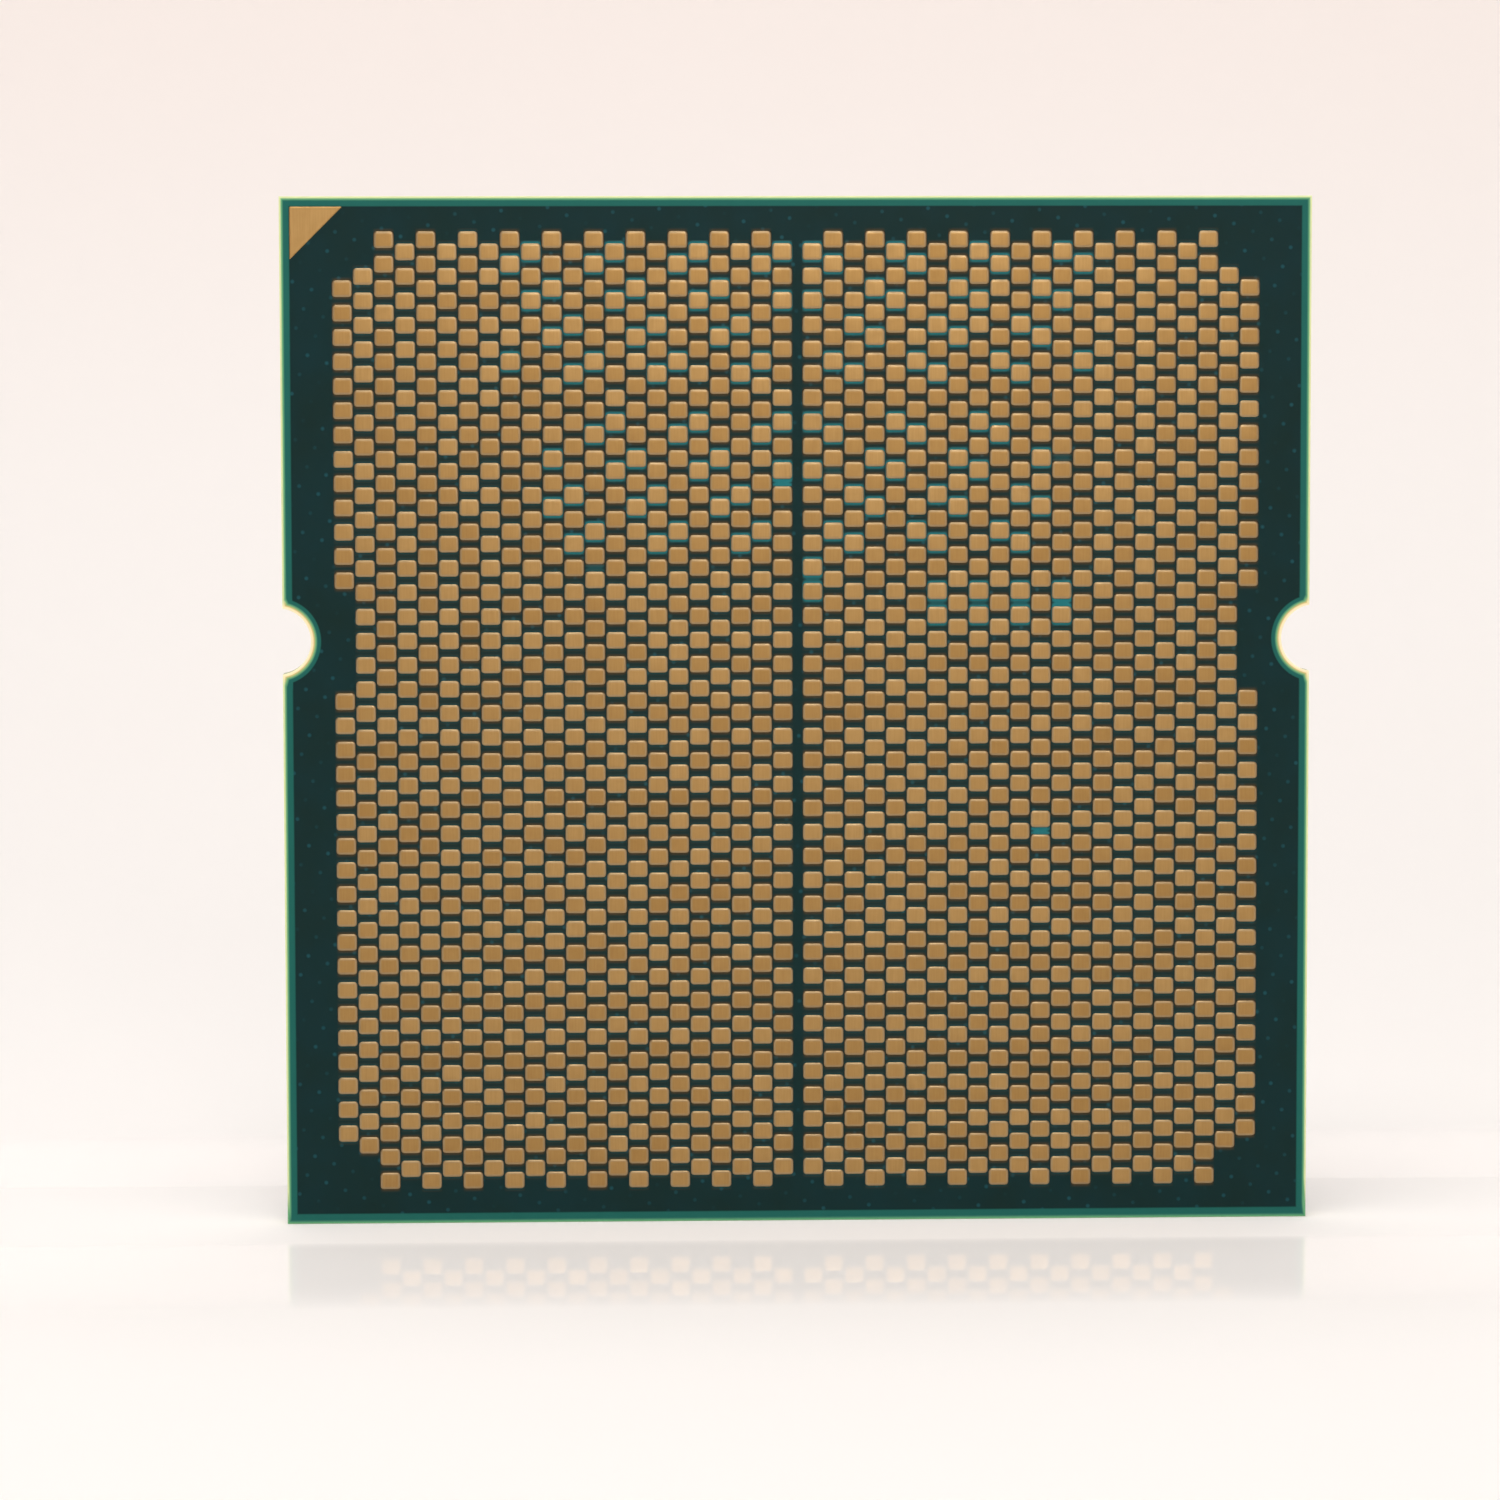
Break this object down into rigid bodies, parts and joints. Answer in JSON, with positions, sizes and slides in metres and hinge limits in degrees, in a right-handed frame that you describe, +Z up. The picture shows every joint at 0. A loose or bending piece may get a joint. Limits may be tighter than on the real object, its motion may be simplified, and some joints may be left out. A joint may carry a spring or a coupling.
{
  "type": "desktop processor",
  "caption": "Square land grid processor: gold contact lands on a laminate substrate with keying notches, and a stepped metal heat spreader over the silicon dies on the back.",
  "frame": {"origin": "middle of the bottom of the whole package, as it stands on its lower edge with the lands facing -Y", "axes": "+X to the right when looking at the land face, +Y from the land face to the lid, +Z up along the land face, with the corner marker at the top left"},
  "size_m": [0.04, 0.0048, 0.04],
  "materials": {
    "solder_mask": "satin dark teal solder mask",
    "laminate": "cut edge of glass-epoxy laminate",
    "copper": "copper foil",
    "gold": "satin gold plating",
    "silicon": "polished silicon",
    "underfill": "cured epoxy",
    "tin_solder": "reflowed solder",
    "thermal_solder": "dull soft metal",
    "nickel": "satin nickel plating on copper",
    "sealant": "cured silicone",
    "capacitor_ceramic": "matte fired ceramic",
    "tinned_ends": "tinned end caps"
  },
  "bodies": {
    "root": {"bay_capacitor_pads": "copper", "bay_capacitor_solder": "tin_solder", "bottom_bay_capacitor_bodies": "capacitor_ceramic", "bottom_bay_capacitor_ends": "tinned_ends", "compute_die_capacitor_bodies": "capacitor_ceramic", "compute_die_capacitor_ends": "tinned_ends", "compute_die_left": "silicon", "compute_die_left_bumps": "tin_solder", "compute_die_left_thermal_solder": "thermal_solder", "compute_die_left_underfill": "underfill", "compute_die_right": "silicon", "compute_die_right_bumps": "tin_solder", "compute_die_right_thermal_solder": "thermal_solder", "compute_die_right_underfill": "underfill", "core_laminate": "laminate", "core_via_posts": "copper", "corner_capacitor_pads": "copper", "corner_capacitor_solder": "tin_solder", "heat_spreader": "nickel", "heat_spreader_sealant": "sealant", "io_die": "silicon", "io_die_bumps": "tin_solder", "io_die_capacitor_bodies": "capacitor_ceramic", "io_die_capacitor_ends": "tinned_ends", "io_die_thermal_solder": "thermal_solder", "io_die_underfill": "underfill", "land_side_buildup_film": "laminate", "land_side_corner_marker": "gold", "land_side_ground_plane": "copper", "land_side_solder_mask": "solder_mask", "left_bay_capacitor_bodies": "capacitor_ceramic", "left_bay_capacitor_ends": "tinned_ends", "lid_side_buildup_film": "laminate", "lid_side_corner_marker": "gold", "lid_side_ground_plane": "copper", "lid_side_solder_mask": "solder_mask", "lower_left_corner_capacitor_bodies": "capacitor_ceramic", "lower_left_corner_capacitor_ends": "tinned_ends", "lower_left_lands": "gold", "lower_right_corner_capacitor_bodies": "capacitor_ceramic", "lower_right_corner_capacitor_ends": "tinned_ends", "lower_right_lands": "gold", "right_bay_capacitor_bodies": "capacitor_ceramic", "right_bay_capacitor_ends": "tinned_ends", "top_bay_capacitor_bodies": "capacitor_ceramic", "top_bay_capacitor_ends": "tinned_ends", "under_lid_capacitor_pads": "copper", "under_lid_capacitor_solder": "tin_solder", "upper_left_corner_capacitor_bodies": "capacitor_ceramic", "upper_left_corner_capacitor_ends": "tinned_ends", "upper_left_lands": "gold", "upper_right_corner_capacitor_bodies": "capacitor_ceramic", "upper_right_corner_capacitor_ends": "tinned_ends", "upper_right_lands": "gold"}
  },
  "joints": []
}
